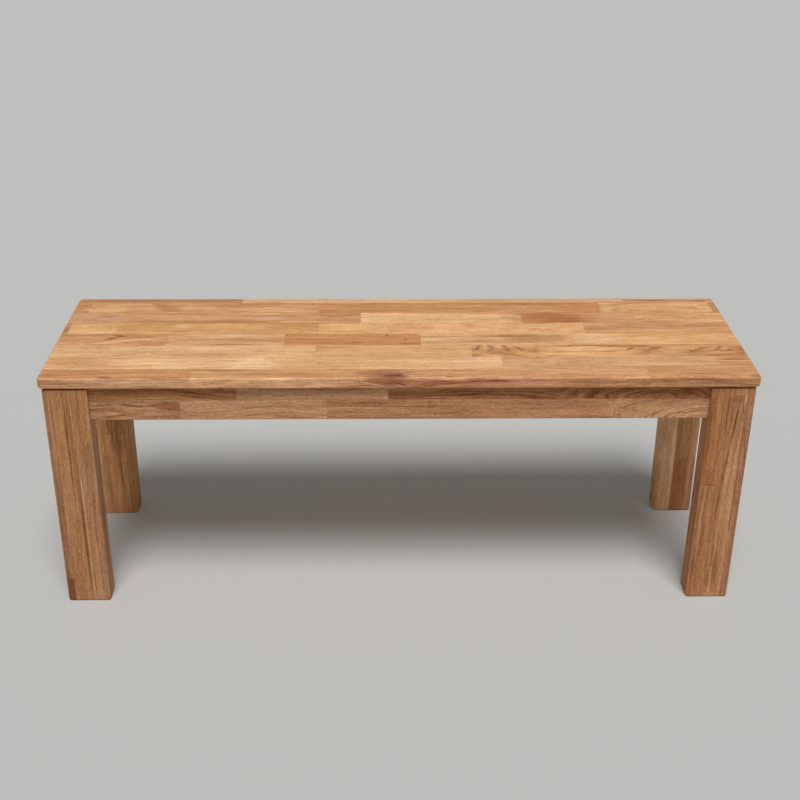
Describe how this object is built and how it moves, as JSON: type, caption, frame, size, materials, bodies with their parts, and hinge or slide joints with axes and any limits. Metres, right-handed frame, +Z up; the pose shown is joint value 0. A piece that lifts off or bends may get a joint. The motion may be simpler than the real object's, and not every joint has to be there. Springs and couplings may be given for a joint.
{
  "type": "backless bench",
  "caption": "Solid oak bench without a back: a flat glued stave seat with rounded edges on rectangular legs, with a set-back apron frame and bolted corner blocks.",
  "frame": {"origin": "on the floor, under the middle of the seat", "axes": "+X along the bench, to the right of someone who faces its front; +Y across it, to the back; +Z up"},
  "size_m": [1.2, 0.35, 0.445],
  "materials": {
    "seat_oak": "clear matt oil",
    "leg_oak": "clear matt oil",
    "apron_oak": "clear matt oil",
    "block_beech": "bare planed wood",
    "zinc_steel": "bright zinc plate"
  },
  "bodies": {
    "root": {"seat_strip_1": "seat_oak", "seat_strip_2": "seat_oak", "seat_strip_3": "seat_oak", "seat_strip_4": "seat_oak", "seat_strip_5": "seat_oak", "seat_strip_6": "seat_oak", "seat_strip_7": "seat_oak", "seat_strip_8": "seat_oak", "leg_front_left_outer": "leg_oak", "leg_front_left_middle": "leg_oak", "leg_front_left_inner": "leg_oak", "leg_front_right_outer": "leg_oak", "leg_front_right_middle": "leg_oak", "leg_front_right_inner": "leg_oak", "leg_back_left_outer": "leg_oak", "leg_back_left_middle": "leg_oak", "leg_back_left_inner": "leg_oak", "leg_back_right_outer": "leg_oak", "leg_back_right_middle": "leg_oak", "leg_back_right_inner": "leg_oak", "apron_front_upper": "apron_oak", "apron_front_lower": "apron_oak", "apron_back_upper": "apron_oak", "apron_back_lower": "apron_oak", "apron_left_upper": "apron_oak", "apron_left_lower": "apron_oak", "apron_right_upper": "apron_oak", "apron_right_lower": "apron_oak", "corner_block_front_left": "block_beech", "corner_block_front_right": "block_beech", "corner_block_back_left": "block_beech", "corner_block_back_right": "block_beech", "hanger_bolts": "zinc_steel", "bolt_washers": "zinc_steel", "bolt_nuts": "zinc_steel", "block_screws": "zinc_steel", "seat_brackets": "zinc_steel", "bracket_screws": "zinc_steel"}
  },
  "joints": []
}
